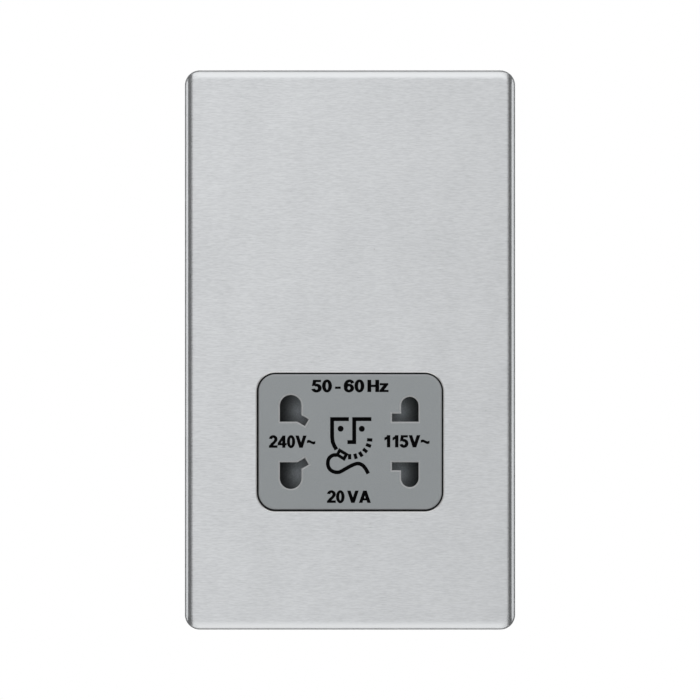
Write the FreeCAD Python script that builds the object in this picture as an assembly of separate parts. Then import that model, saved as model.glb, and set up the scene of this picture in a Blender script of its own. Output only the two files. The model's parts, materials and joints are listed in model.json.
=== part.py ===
import FreeCAD, Part
import math
import os

# Shaver socket: a flush screwless wall unit with two pairs of pin apertures.
# X is to the right, the front faces -Y, Z is up. The wall is the plane y = 0,
# and the origin is midway between the two wall box fixings.

V = FreeCAD.Vector

# Front plate, a pressed steel pan
plate_depth = 5.0
plate_sheet = 1.0
plate_corner = 3.9
plate_bend = 2.2
plate_wall_gap = 0.3
plate_opening_edge = 0.3
bead_height = 0.7
bead_length = 9.0
bead_rows = 3
bead_pitch = 46.0
bead_level = 2.0
prise_notch_width = 10.0
prise_notch_depth = 1.3

# Mounting frame behind the plate
frame_clearance = 0.325
frame_thickness = 3.0
frame_web = 1.3
frame_wall = 1.8
frame_rib = 1.2
frame_rib_spacing = 18.0
groove_clearance = 0.2
fixing_gap = 1.7             # from the rear housing to the boss of a fixing
fixing_hole_radius = 2.1
fixing_head_radius = 4.2
fixing_floor = 1.4
fixing_boss_wall = 1.4

# Gasket on the rear of the frame
gasket_margin = 0.4
gasket_band = 3.6
gasket_corner_inner = 3.0
gasket_side_gap = 4.8        # beside the rear housing
gasket_end_gap = 1.775       # beyond the bosses of the fixings

# Grey insert
insert_width = 47.9
insert_height = 35.4
insert_corner = 4.5
insert_centre_z = -24.0
insert_proud = 0.3
insert_gap = 0.4
insert_face = 2.0
insert_wall = 1.6
insert_edge = 0.45
insert_fit = 0.2
insert_depth = 6.3
flange_thickness = 2.0
flange_width = 2.55
flange_corner = 6.0

# Apertures, measured from the middle of the insert
aperture_flat = 5.3
aperture_240_x = -15.49
aperture_240_radius = 2.82
aperture_240_tip = 12.26
blade_angle = 30.0
blade_slot = 2.0
blade_end_x = 4.215
blade_end_z = 5.04
aperture_115_x = 15.61
aperture_115_radius = 2.285
aperture_115_tip = 11.77
notch_115_reach = 4.66
notch_115_height = 2.09
aperture_chamfer = 0.4
collar_wall = 1.1

# Shutter slider and its springs
shutter_travel = 8.4
shutter_end_margin = 0.25
shutter_rear_gap = 0.2
shutter_front_gap = 0.3
shutter_plate = 1.6
shutter_half_height = 13.5
shutter_guide_gap = 0.3
shutter_stop_gap = 2.0
ramp_lip = 0.5
pad_land = 2.0
pad_inner = 3.6
spring_slot_half = 2.0
spring_slot_depth = 6.0
spring_end_gap = 0.1
spring_radius = 1.3
spring_wire = 0.4
spring_turns = 6
spring_steps = 8

# Contact carrier
carrier_depth = 15.0
carrier_tray = 4.0
carrier_skin = 2.0
carrier_end_wall = 3.6
tray_wall_top = 1.8
tray_wall_side = 1.5
well_half_width = 4.75
well_half_height = 4.3
well_side_wall = 1.6
well_margin = 0.35

# Spring contacts
contact_offset_z = 8.5
contact_sheet = 0.45
contact_height = 7.8
contact_base_half = 4.3
contact_base_height = 9.6
contact_recess = 2.0
contact_knee = 4.5
contact_pinch = 1.75
contact_mouth = 3.1
contact_mouth_gap = 0.4
contact_lead_in = 2.6
contact_tail_width = 3.0
contact_tail_gap = 0.6
contact_bar_height = 4.0
base_clearance = 0.4

# Changeover switch in the middle of the carrier
boss_half_width = 2.4
boss_half_height = 2.0
boss_length = 2.2
peg_half = 0.5
bridge_sheet = 0.4
bridge_half_width = 1.7
bridge_half_height = 2.5
bridge_foot_half = 0.5
bridge_foot_drop = 0.5
bridge_gap = 0.3
strip_sheet = 0.4
strip_offset_z = 1.7
strip_height = 1.5
strip_overrun = 3.6
strip_dip = 1.2
strip_dip_half = 4.4
strip_dip_slope = 1.0
channel_half_height = 2.8
channel_margin = 0.6

# Rear housing
housing_corner = 5.0
housing_wall = 1.6
housing_edge = 1.4
housing_fit = 0.4
housing_side_space = 7.4     # beside the laminated core, for the links
housing_top_space = 6.4
housing_rear_gap = 0.6
step_drop = 5.0              # from the core to the step in the housing
column_inset = 4.2
column_drop = 4.6
column_wall = 1.2
seat_front = 5.2
seat_thickness = 2.0
vent_count = 6
vent_width = 2.0
vent_pitch = 5.4
vent_rise = 6.0
vent_offset = 1.0

# Housing screws, and the posts of the frame that they enter
screw_radius = 1.3
screw_hole_gap = 0.2
screw_pilot_gap = 0.05
screw_head_radius = 2.7
screw_head_height = 1.9
screw_head_gap = 0.4
screw_reach = 7.0
pilot_spare = 0.6
post_half = 2.6
post_gap = 0.2
slot_width = 0.7
slot_depth = 0.8

# Transformer with EI laminations: every part of the core follows its leg
core_leg = 8.0
core_stack = 18.0
core_rise = 11.7             # above the contact carrier, for the contacts' tails
core_link_gap = 0.8
bobbin_gap = 0.15
bobbin_wall = 0.85
bobbin_flange = 0.9
bobbin_side_gap = 0.4
coil_side_gap = 0.9
coil_fit = 0.05
coil_corner = 3.0
tape_thickness = 0.3
tape_margin = 0.8
ledge_height = 4.0
ledge_wall = 1.05
ledge_end = 1.8
pin_half = 0.35
pin_length = 3.4
pin_pitch = 15.0
pillar_width = 4.0
pillar_height = 5.0
pillar_inset = 0.5
pillar_drop = 6.0
cutout_length = 11.0
cutout_width = 8.0
cutout_height = 4.2
cutout_edge = 0.8

# Terminals along the bottom wall
terminal_pitch = 12.0
terminal_gap = 1.1
terminal_width = 7.0
terminal_rear_gap = 2.0
terminal_height = 9.0
terminal_bore_radius = 2.1
terminal_edge = 0.5
terminal_fit = 0.15
terminal_rib = 1.2
terminal_rib_height = 6.0
entry_clearance = 0.6
terminal_screw_radius = 1.5
terminal_screw_head_radius = 2.2
terminal_screw_head_height = 1.4
terminal_screw_tip_gap = 0.2
prong_width = 3.0
prong_height = 4.0
prong_rise = 2.9

# Earth strap
strap_sheet = 0.5
strap_width = 5.0
strap_rise = 3.1
strap_front_length = 5.8
strap_rear_length = 4.9
strap_clearance = 0.4

# Flat brass links from the terminals to the switch and the transformer
link_sheet = 0.5
link_width = 1.8
link_side_gap = 0.4
link_core_side_gap = 1.2
link_lug = 5.0
link_lug_drop = 0.8
link_cutout_lug = 3.0
link_ledge_gap = 1.0

# Levels along Y, from the front to the rear
plate_front_y = -plate_depth
plate_back_y = plate_front_y + plate_sheet
frame_front_y = plate_back_y
frame_rear_y = frame_front_y + frame_thickness
insert_front_y = plate_front_y - insert_proud
insert_rear_y = insert_front_y + insert_depth
flange_front_y = insert_rear_y - flange_thickness
carrier_front = insert_rear_y + carrier_tray
skin_rear_y = carrier_front + carrier_skin
carrier_rear_y = carrier_front + carrier_depth
contact_base_y = carrier_rear_y - contact_recess
contact_back_y = contact_base_y + contact_sheet
shutter_front_y = insert_rear_y + shutter_front_gap
shutter_rear_y = carrier_front - shutter_rear_gap
shutter_plate_y = shutter_rear_y - shutter_plate
bridge_y = shutter_rear_y + boss_length
foot_y = bridge_y + bridge_sheet + bridge_foot_drop
strip_y = foot_y + bridge_gap
link_front_y = strip_y - link_sheet
pin_y = link_front_y - pin_half
seat_rear_y = seat_front + seat_thickness
core_width = 6 * core_leg
core_height = 5 * core_leg
bobbin_half_x = core_leg + bobbin_gap + bobbin_wall
bobbin_half_y = core_stack / 2 + bobbin_gap + bobbin_wall
flange_half_x = 2 * core_leg - bobbin_side_gap
flange_half_y = bobbin_half_y + flange_half_x - bobbin_half_x
core_front_y = strip_y + core_link_gap
core_centre_y = core_front_y + core_stack / 2
core_rear_y = core_front_y + core_stack
housing_deep_y = core_centre_y + flange_half_y + housing_rear_gap + housing_wall
housing_shallow_y = carrier_rear_y + housing_wall
terminal_front_y = strip_y
terminal_rear_y = carrier_rear_y - terminal_rear_gap
terminal_depth = terminal_rear_y - terminal_front_y
terminal_y = (terminal_front_y + terminal_rear_y) / 2

# Levels along Z, up and down from the insert
carrier_half_height = contact_offset_z + contact_base_height / 2 + base_clearance + carrier_end_wall
carrier_half_height = max(carrier_half_height, shutter_half_height + shutter_guide_gap + tray_wall_top)
carrier_top_z = insert_centre_z + carrier_half_height
core_base_z = carrier_top_z + core_rise
core_centre_z = core_base_z + core_height / 2
core_top_z = core_base_z + core_height
window_base_z = core_base_z + core_leg
window_top_z = core_top_z - core_leg
ledge_base_z = window_base_z + bobbin_gap - ledge_height
ledge_top_z = window_top_z - bobbin_gap + ledge_height
tail_level_z = (carrier_top_z + core_base_z) / 2
housing_top_z = core_top_z + housing_top_space + housing_wall
housing_step_z = core_base_z - step_drop
terminal_top_z = insert_centre_z - carrier_half_height - terminal_gap
terminal_base_z = terminal_top_z - terminal_height
terminal_z = (terminal_top_z + terminal_base_z) / 2
housing_base_z = terminal_base_z - housing_wall
housing_height = housing_top_z - housing_base_z
housing_centre_z = (housing_top_z + housing_base_z) / 2
boss_radius = fixing_head_radius + fixing_boss_wall
fixing_places = [housing_base_z - fixing_gap - boss_radius, housing_top_z + fixing_gap + boss_radius]
plate_margin = gasket_band + gasket_margin + frame_clearance + plate_sheet
plate_end_margin = boss_radius + gasket_end_gap + plate_margin
plate_height = fixing_places[1] - fixing_places[0] + 2 * plate_end_margin
plate_centre_z = sum(fixing_places) / 2

# Places along X
blade_inner_x = aperture_240_x + blade_end_x + blade_slot / 2 * math.sin(math.radians(blade_angle))
notch_inner_x = aperture_115_x - notch_115_reach
shutter_left = blade_inner_x + shutter_end_margin - shutter_travel
shutter_right = notch_inner_x - shutter_end_margin + shutter_travel
spring_anchor_x = max(-shutter_left, shutter_right) + shutter_travel + shutter_stop_gap
carrier_half_width = spring_anchor_x + tray_wall_side
carrier_body_half = max(-aperture_240_x, aperture_115_x) + well_half_width + well_side_wall
housing_inner_half = max(carrier_half_width + housing_fit, core_width / 2 + housing_side_space)
housing_width = 2 * (housing_inner_half + housing_wall)
plate_width = housing_width + 2 * (gasket_side_gap + plate_margin)
column_x = housing_width / 2 - column_inset
column_places = [(side * column_x, z) for side in (-1, 1)
                 for z in (housing_base_z + column_drop, housing_top_z - column_drop)]
riser_x = carrier_body_half + link_side_gap
upper_riser_x = core_width / 2 + link_core_side_gap
neutral_x, earth_x, live_x = -terminal_pitch, 0.0, terminal_pitch
terminal_places = [neutral_x, earth_x, live_x]
pin_places = [-pin_pitch, 0.0, pin_pitch]

opening_width = insert_width + 2 * insert_gap
opening_height = insert_height + 2 * insert_gap
opening_corner = insert_corner + insert_gap
overcut = 1.0                # how far a cut runs past the faces that it opens


# Basic shapes

def box(x0, x1, y0, y1, z0, z1):
    return Part.makeBox(x1 - x0, y1 - y0, z1 - z0, V(x0, y0, z0))


def centred_box(x, z, half_width, half_height, y0, y1):
    return box(x - half_width, x + half_width, y0, y1, z - half_height, z + half_height)


def rod(x, z, radius, y0, y1):
    return Part.makeCylinder(radius, y1 - y0, V(x, y0, z), V(0, 1, 0))


def upright(x, y, radius, z0, z1):
    return Part.makeCylinder(radius, z1 - z0, V(x, y, z0), V(0, 0, 1))


def line(a, b):
    return Part.LineSegment(a, b).toShape()


def rounded_outline(width, height, corner, z=0.0):
    """Rectangle with rounded corners in the XZ plane, centred on x = 0."""
    x = width / 2
    top = z + height / 2
    low = z - height / 2
    inset = corner * (1 - math.sqrt(0.5))
    edges = []
    for sx, sz in ((1, -1), (1, 1), (-1, 1), (-1, -1)):
        edge_z = top if sz > 0 else low
        on_side = V(sx * x, 0, edge_z - sz * corner)
        on_end = V(sx * (x - corner), 0, edge_z)
        middle = V(sx * (x - inset), 0, edge_z - sz * inset)
        first, last = (on_end, on_side) if sx * sz < 0 else (on_side, on_end)
        edges.append((first, middle, last))
    parts = []
    for number, (first, middle, last) in enumerate(edges):
        parts.append(Part.Arc(first, middle, last).toShape())
        parts.append(line(last, edges[(number + 1) % 4][0]))
    return Part.Face(Part.Wire(parts))


def slab(face, y0, y1):
    """A face of the XZ plane carried from y0 to y1."""
    return face.translated(V(0, y0, 0)).extrude(V(0, y1 - y0, 0))


def rounded_slab(width, height, corner, y0, y1, z=0.0):
    return slab(rounded_outline(width, height, corner, z), y0, y1)


def edges_at_y(shape, y):
    return [e for e in shape.Edges if abs(e.BoundBox.YMin - y) < 1e-4 and abs(e.BoundBox.YMax - y) < 1e-4]


def polygon_face(points):
    return Part.Face(Part.makePolygon(points + points[:1]))


def strip_face(points, sheet, towards):
    """Bent strip as a flat outline, with its sheet on the side of the points that faces a direction."""
    wire = Part.makePolygon(points)
    sides = [wire.makeOffset2D(offset, 0, True, True, False) for offset in (sheet, -sheet)]
    return max(sides, key=lambda face: face.CenterOfMass.dot(towards))


def flip_z(shape):
    """Mirror about the middle of the insert."""
    return shape.mirror(V(0, 0, insert_centre_z), V(0, 0, 1))


# Aperture outlines above the middle of the insert, in the XZ plane

def outline_240():
    slope = math.radians(blade_angle)
    along = V(math.cos(slope), 0, -math.sin(slope))
    across = V(math.sin(slope), 0, math.cos(slope))
    end = V(aperture_240_x + blade_end_x, 0, blade_end_z)
    upper = end + across * (blade_slot / 2)
    lower = end - across * (blade_slot / 2)
    left = aperture_240_x - aperture_240_radius
    right = aperture_240_x + aperture_240_radius
    arc_z = aperture_240_tip - aperture_240_radius
    on_side = upper - along * ((upper.x - right) / along.x)
    on_flat = lower - along * ((lower.z - aperture_flat) / along.z)
    corners = [V(left, 0, arc_z), V(left, 0, aperture_flat), on_flat, lower, upper, on_side, V(right, 0, arc_z)]
    return corners, V(aperture_240_x, 0, aperture_240_tip)


def outline_115():
    left = aperture_115_x - aperture_115_radius
    right = aperture_115_x + aperture_115_radius
    arc_z = aperture_115_tip - aperture_115_radius
    step = aperture_flat + notch_115_height
    corners = [V(right, 0, arc_z), V(right, 0, aperture_flat), V(notch_inner_x, 0, aperture_flat)]
    corners += [V(notch_inner_x, 0, step), V(left, 0, step), V(left, 0, arc_z)]
    return corners, V(aperture_115_x, 0, aperture_115_tip)


def aperture_face(outline):
    corners, crown = outline
    edges = [line(a, b) for a, b in zip(corners, corners[1:])]
    edges.append(Part.Arc(corners[-1], crown, corners[0]).toShape())
    face = Part.Face(Part.Wire(edges))
    return face.translated(V(0, 0, insert_centre_z))


def both_ways(shapes):
    return shapes + [flip_z(s) for s in shapes]


def aperture_slabs(y0, y1):
    """The four apertures as solids."""
    return both_ways([slab(aperture_face(outline), y0, y1) for outline in (outline_240(), outline_115())])


def grown_box(shape, margin):
    """The box round a shape, wider by a margin in X and Z."""
    b = shape.BoundBox
    return box(b.XMin - margin, b.XMax + margin, b.YMin, b.YMax, b.ZMin - margin, b.ZMax + margin)


def aperture_chamfers():
    cuts = []
    for outline in (outline_240(), outline_115()):
        face = aperture_face(outline).translated(V(0, insert_front_y + aperture_chamfer, 0))
        wide = face.makeOffset2D(aperture_chamfer, 2).translated(V(0, -aperture_chamfer, 0))
        cuts.append(Part.makeLoft([wide.OuterWire, face.OuterWire], True, True))
    return both_ways(cuts)


# Front plate

def on_opening(edge):
    centre = edge.BoundBox.Center
    return (abs(centre.x) < opening_width / 2 + overcut
            and abs(centre.z - insert_centre_z) < opening_height / 2 + overcut)


def front_plate():
    """Sheet pressed into a pan, with beads inside its skirt that snap over the frame."""
    rear_y = -plate_wall_gap
    body = rounded_slab(plate_width, plate_height, plate_corner, plate_front_y, rear_y, plate_centre_z)
    body = body.makeFillet(plate_bend, edges_at_y(body, plate_front_y))
    inside = rounded_slab(plate_width - 2 * plate_sheet, plate_height - 2 * plate_sheet,
                          plate_corner - plate_sheet, plate_back_y, rear_y + overcut, plate_centre_z)
    inside = inside.makeChamfer(plate_bend - plate_sheet, edges_at_y(inside, plate_back_y))
    pan = body.cut(inside)
    pan = pan.cut(rounded_slab(opening_width, opening_height, opening_corner,
                               plate_front_y - overcut, plate_back_y + overcut, insert_centre_z))
    rim = [e for e in edges_at_y(pan, plate_front_y) if on_opening(e)]
    pan = pan.makeChamfer(plate_opening_edge, rim)
    pan = pan.fuse(snap_beads(0))
    low = plate_centre_z - plate_height / 2
    prise_notch = box(-prise_notch_width / 2, prise_notch_width / 2, rear_y - prise_notch_depth,
                      rear_y + overcut, low - overcut, low + plate_sheet + overcut)
    return pan.cut(prise_notch)


def snap_beads(grow):
    """V-shaped ridges inside the plate's sides, or with a clearance the grooves that take them."""
    wall_x = plate_width / 2 - plate_sheet
    reach = bead_height + grow
    half = bead_length / 2 + grow
    beads = []
    for row in range(bead_rows):
        z = plate_centre_z + (row - (bead_rows - 1) / 2) * bead_pitch
        for side in (-1, 1):
            ridge = polygon_face([V(side * wall_x, -bead_level - reach, z - half),
                                  V(side * (wall_x - reach), -bead_level, z - half),
                                  V(side * wall_x, -bead_level + reach, z - half)])
            beads.append(ridge.extrude(V(0, 0, 2 * half)))
    return beads


# Mounting frame and gasket

def frame_size():
    shrink = 2 * (plate_sheet + frame_clearance)
    return plate_width - shrink, plate_height - shrink, plate_corner - shrink / 2


def mounting_frame():
    width, height, corner = frame_size()
    frame = rounded_slab(width, height, corner, frame_front_y, frame_rear_y, plate_centre_z)
    frame = frame.makeChamfer(plate_bend - plate_sheet, edges_at_y(frame, frame_front_y))
    frame = frame.cut(frame_pockets(width, height, corner))
    frame = frame.cut(rounded_slab(insert_width + 2 * insert_fit, insert_height + 2 * insert_fit,
                                   insert_corner + insert_fit, frame_front_y - overcut,
                                   frame_rear_y + overcut, insert_centre_z))
    frame = frame.fuse(frame_rear_bosses())
    return frame.cut(frame_holes() + snap_beads(groove_clearance))


def frame_pockets(width, height, corner):
    """Hollow in the front of the frame, less the walls, bosses and ribs left standing in it."""
    floor_y = frame_rear_y - frame_web
    front = frame_front_y - overcut
    hollow = rounded_slab(width - 2 * frame_wall, height - 2 * frame_wall,
                          max(corner - frame_wall, frame_wall / 2), front, floor_y, plate_centre_z)
    wall = insert_fit + frame_wall
    islands = [rounded_slab(insert_width + 2 * wall, insert_height + 2 * wall, insert_corner + wall,
                            front, floor_y, insert_centre_z)]
    islands += [rod(0, z, boss_radius, front, floor_y) for z in fixing_places]
    islands += [centred_box(x, z, post_half, post_half, front, floor_y) for x, z in column_places]
    for z in frame_rib_rows(height):
        islands.append(centred_box(0, z, width / 2, frame_rib / 2, front, floor_y))
    for x in (-frame_rib_spacing, frame_rib_spacing):
        islands.append(centred_box(x, plate_centre_z, frame_rib / 2, height / 2, front, floor_y))
    return hollow.cut(islands)


def frame_rib_rows(height):
    """Cross ribs spaced up the plain upper part of the frame."""
    first = insert_centre_z + insert_height / 2 + frame_rib_spacing / 2
    last = plate_centre_z + height / 2 - frame_wall
    return [first + n * frame_rib_spacing for n in range(int((last - first) / frame_rib_spacing) + 1)]


def frame_rear_bosses():
    """Bosses round the fixings, posts for the housing's screws, pillars for the core, terminal prongs."""
    floor_y = frame_rear_y - frame_web
    bosses = [rod(0, z, boss_radius, floor_y, 0) for z in fixing_places]
    bosses += [centred_box(x, z, post_half, post_half, floor_y, seat_front) for x, z in column_places]
    bosses += pillars(floor_y, core_front_y)
    for x in (neutral_x, live_x):
        bosses.append(centred_box(x, terminal_base_z + prong_rise, prong_width / 2, prong_height / 2,
                                  floor_y, terminal_front_y))
    return bosses


def pillars(y0, y1):
    """Four posts that meet the laminated core near its corners."""
    x = core_width / 2 - pillar_inset - pillar_width / 2
    z = core_height / 2 - pillar_drop - pillar_height / 2
    return [centred_box(side * x, core_centre_z + end * z, pillar_width / 2, pillar_height / 2, y0, y1)
            for side in (-1, 1) for end in (-1, 1)]


def frame_holes():
    front = frame_front_y - overcut
    cuts = []
    for z in fixing_places:
        cuts.append(rod(0, z, fixing_hole_radius, front, overcut))
        cuts.append(rod(0, z, fixing_head_radius, front, -fixing_floor))
    for x, z in column_places:
        cuts.append(rod(x, z, screw_radius + screw_pilot_gap, seat_front - screw_reach - pilot_spare,
                        seat_front + overcut))
    half = strap_width / 2 + strap_clearance
    riser = terminal_base_z + strap_rise
    low = riser - strap_sheet - strap_clearance
    high = riser + strap_clearance
    cuts.append(box(earth_x - half, earth_x + half, front, frame_rear_y + overcut, low, high))
    cuts.append(box(earth_x - half, earth_x + half, front, frame_front_y + strap_sheet + strap_clearance,
                    riser - strap_front_length - strap_clearance, high))
    return cuts


def gasket():
    width, height, corner = frame_size()
    width -= 2 * gasket_margin
    height -= 2 * gasket_margin
    ring = rounded_slab(width, height, corner, frame_rear_y, 0, plate_centre_z)
    return ring.cut(rounded_slab(width - 2 * gasket_band, height - 2 * gasket_band, gasket_corner_inner,
                                 frame_rear_y - overcut, overcut, plate_centre_z))


# Insert

def socket_insert():
    """Grey face on a neck and flange, with a collar round each aperture and ribs behind."""
    neck = rounded_slab(insert_width, insert_height, insert_corner, insert_front_y, insert_rear_y,
                        insert_centre_z)
    neck = neck.makeChamfer(insert_edge, edges_at_y(neck, insert_front_y))
    flange = rounded_slab(insert_width + 2 * flange_width, insert_height + 2 * flange_width, flange_corner,
                          flange_front_y, insert_rear_y, insert_centre_z)
    hollow_y = insert_front_y + insert_face
    rear = insert_rear_y + overcut
    hollow = rounded_slab(insert_width - 2 * insert_wall, insert_height - 2 * insert_wall,
                          insert_corner - insert_wall, hollow_y, rear, insert_centre_z)
    standing = [grown_box(a, collar_wall) for a in aperture_slabs(hollow_y - overcut, rear)]
    standing.append(centred_box(0, insert_centre_z, insert_width / 2, insert_wall / 2,
                                hollow_y - overcut, rear))
    for x in (aperture_240_x, aperture_115_x):
        standing.append(centred_box(x, insert_centre_z, insert_wall / 2, insert_height / 2,
                                    hollow_y - overcut, rear))
    body = neck.fuse(flange).cut(hollow.cut(standing))
    body = body.cut(aperture_slabs(insert_front_y - overcut, rear))
    return body.cut(aperture_chamfers())


# Shutter and its springs

def shutter_slider():
    """Flat slider that rises by a ramp behind each aperture, with a boss for the switch's bridge."""
    inner_left = shutter_left + shutter_travel
    inner_right = shutter_right - shutter_travel
    low = insert_centre_z - shutter_half_height
    outline = [(shutter_left, shutter_rear_y), (shutter_right, shutter_rear_y),
               (shutter_right, shutter_rear_y - ramp_lip), (inner_right, shutter_front_y),
               (inner_left, shutter_front_y), (shutter_left, shutter_rear_y - ramp_lip)]
    profile = polygon_face([V(x, y, low) for x, y in outline])
    slider = profile.extrude(V(0, 0, 2 * shutter_half_height))
    front = shutter_front_y - overcut
    cuts = [centred_box((inner_left + inner_right) / 2, insert_centre_z,
                        (inner_right - inner_left) / 2 - pad_land, shutter_half_height + overcut,
                        front, shutter_plate_y),
            centred_box(0, insert_centre_z, carrier_half_width, pad_inner, front, shutter_plate_y)]
    for end, inward in ((shutter_left, 1), (shutter_right, -1)):
        outer, inner = end - inward * overcut, end + inward * spring_slot_depth
        cuts.append(centred_box((outer + inner) / 2, insert_centre_z, abs(inner - outer) / 2,
                                spring_slot_half, front, shutter_rear_y + overcut))
    boss = centred_box(0, insert_centre_z, boss_half_width, boss_half_height, shutter_plate_y, bridge_y)
    peg = centred_box(0, insert_centre_z, peg_half, peg_half, shutter_plate_y, bridge_y + bridge_sheet)
    return slider.cut(cuts).fuse([boss, peg])


def spring_sections(seat_x, anchor_x):
    """Square sections of the wire, set along a helix between two seats."""
    half = spring_wire / 2
    first = min(seat_x, anchor_x) + half
    length = abs(seat_x - anchor_x) - spring_wire
    centre_y = (shutter_front_y + shutter_rear_y) / 2
    steps = spring_turns * spring_steps
    sections = []
    for n in range(steps + 1):
        turn = 2 * math.pi * n / spring_steps
        out = V(0, math.cos(turn), math.sin(turn))
        centre = V(first + length * n / steps, centre_y, insert_centre_z) + out * spring_radius
        sections.append([centre + out * (half * i) + V(half * k, 0, 0)
                         for i, k in ((1, 1), (1, -1), (-1, -1), (-1, 1))])
    return sections


def shutter_spring(seat_x, anchor_x):
    """Coil of square wire, with two flat facets between each pair of corners."""
    sections = spring_sections(seat_x, anchor_x)
    facets = [polygon_face(sections[0]), polygon_face(sections[-1])]
    for near, far in zip(sections, sections[1:]):
        for k in range(len(near)):
            following = (k + 1) % len(near)
            facets.append(polygon_face([near[k], near[following], far[following]]))
            facets.append(polygon_face([near[k], far[following], far[k]]))
    shell = Part.makeShell(facets)
    shell.sewShape()
    return Part.makeSolid(shell)


def shutter_spring_left():
    return shutter_spring(shutter_left + spring_slot_depth - spring_end_gap, -spring_anchor_x)


def shutter_spring_right():
    return shutter_spring(shutter_right - spring_slot_depth + spring_end_gap, spring_anchor_x)


# Contact carrier

def contact_places():
    return [(x, insert_centre_z + side * contact_offset_z)
            for x in (aperture_240_x, aperture_115_x) for side in (1, -1)]


def contact_carrier():
    """Tray that guides the slider, its floor, and a narrower block with the contacts' wells."""
    ring_half = shutter_half_height + shutter_guide_gap
    ring = centred_box(0, insert_centre_z, carrier_half_width, ring_half + tray_wall_top,
                       insert_rear_y, carrier_front)
    inner = centred_box(0, insert_centre_z, spring_anchor_x, ring_half, insert_rear_y - overcut, carrier_front)
    skin = centred_box(0, insert_centre_z, carrier_half_width, carrier_half_height, carrier_front, skin_rear_y)
    block = centred_box(0, insert_centre_z, carrier_body_half, carrier_half_height, skin_rear_y, carrier_rear_y)
    body = skin.fuse([block, ring.cut(inner)])
    body = body.cut(carrier_wells() + carrier_channel() + carrier_slots())
    hump_half = strip_dip_half - strip_dip_slope - base_clearance
    hump = centred_box(0, insert_centre_z, hump_half, channel_half_height + channel_margin,
                       strip_y, strip_y + strip_dip - strip_sheet)
    return body.fuse(hump)


def carrier_wells():
    """Windows for the pins in the tray's floor, with a well for a contact behind each."""
    rear = carrier_rear_y + overcut
    cuts = [grown_box(a, well_margin) for a in aperture_slabs(carrier_front - overcut, skin_rear_y + overcut)]
    for x, z in contact_places():
        cuts.append(centred_box(x, z, well_half_width, well_half_height, skin_rear_y, rear))
        cuts.append(centred_box(x, z, contact_base_half + base_clearance,
                                contact_base_height / 2 + base_clearance, contact_base_y, rear))
    return cuts


def carrier_channel():
    """Slot for the slider's boss, a channel for the strips that opens to the right, and their dip."""
    floor = strip_y + strip_sheet
    boss_reach = shutter_travel + boss_half_width + channel_margin
    left = -shutter_travel - strip_overrun - channel_margin
    low, high = insert_centre_z - channel_half_height, insert_centre_z + channel_half_height
    return [box(-boss_reach, boss_reach, carrier_front - overcut, floor, low, high),
            box(left, carrier_body_half + overcut, skin_rear_y, floor, low, high),
            box(-strip_dip_half - channel_margin, strip_dip_half + channel_margin,
                floor - overcut, floor + strip_dip, low, high)]


def carrier_slots():
    """Rear slots for the bar of the common contact and for the three tails."""
    rear = carrier_rear_y + overcut
    half = contact_tail_width / 2 + base_clearance
    upper_z, lower_z = insert_centre_z + contact_offset_z, insert_centre_z - contact_offset_z
    slots = [box(x - half, x + half, contact_base_y, rear, lower_z if x == 0 else upper_z,
                 carrier_top_z + overcut) for x in pin_places]
    bar_half = contact_bar_height / 2 + base_clearance
    slots.append(box(aperture_240_x, aperture_115_x, contact_base_y, rear,
                     lower_z - bar_half, lower_z + bar_half))
    return slots


# Contacts

def contact_clip(x, z):
    """Two sprung leaves that rise from a flat base, pinch a pin and flare at the mouth."""
    half = contact_base_half
    bend = 2 * contact_sheet
    mouth_y = skin_rear_y + contact_mouth_gap
    right = [V(half - bend, contact_back_y, 0), V(half, contact_back_y, 0),
             V(half, contact_base_y - contact_knee, 0),
             V(contact_pinch + contact_sheet, mouth_y + contact_lead_in, 0),
             V(contact_mouth + contact_sheet, mouth_y, 0)]
    leaf = strip_face(right, contact_sheet, V(-1, 0, 0))
    leaf = leaf.translated(V(0, 0, -contact_height / 2)).extrude(V(0, 0, contact_height))
    other = leaf.mirror(V(0, 0, 0), V(1, 0, 0))
    foot = centred_box(0, 0, half - contact_sheet, contact_base_height / 2, contact_base_y, contact_back_y)
    return foot.fuse([leaf, other]).translated(V(x, 0, z))


def contact_tail(x, z_from):
    """Strip that rises behind the carrier, turns forward under the core and meets a solder pin."""
    points = [V(x, contact_base_y, z_from), V(x, contact_base_y, tail_level_z),
              V(x, link_front_y, tail_level_z), V(x, link_front_y, ledge_base_z - contact_tail_gap)]
    face = strip_face(points, contact_sheet, V(0, 1, 0))
    return face.translated(V(-contact_tail_width / 2, 0, 0)).extrude(V(contact_tail_width, 0, 0))


def single_contact(x, tail_x):
    z = insert_centre_z + contact_offset_z
    return contact_clip(x, z).fuse(contact_tail(tail_x, z)).removeSplitter()


def contact_common():
    z = insert_centre_z - contact_offset_z
    clips = [contact_clip(x, z) for x in (aperture_240_x, aperture_115_x)]
    bar = box(aperture_240_x, aperture_115_x, contact_base_y, contact_back_y,
              z - contact_bar_height / 2, z + contact_bar_height / 2)
    return bar.fuse(clips + [contact_tail(0, z)]).removeSplitter()


# Switch

def switch_bridge():
    """Leaf held on the slider's peg, pressed into a foot over each fixed strip."""
    back = bridge_y + bridge_sheet
    outline = [(bridge_y, bridge_half_height), (bridge_y, -bridge_half_height), (back, -bridge_half_height)]
    for side in (-1, 1):
        z = side * strip_offset_z
        outline += [(back, z - bridge_foot_half), (foot_y, z), (back, z + bridge_foot_half)]
    outline.append((back, bridge_half_height))
    leaf = polygon_face([V(-bridge_half_width, y, insert_centre_z + z) for y, z in outline])
    leaf = leaf.extrude(V(2 * bridge_half_width, 0, 0))
    return leaf.cut(centred_box(0, insert_centre_z, peg_half, peg_half, bridge_y - overcut, back + overcut))


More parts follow.
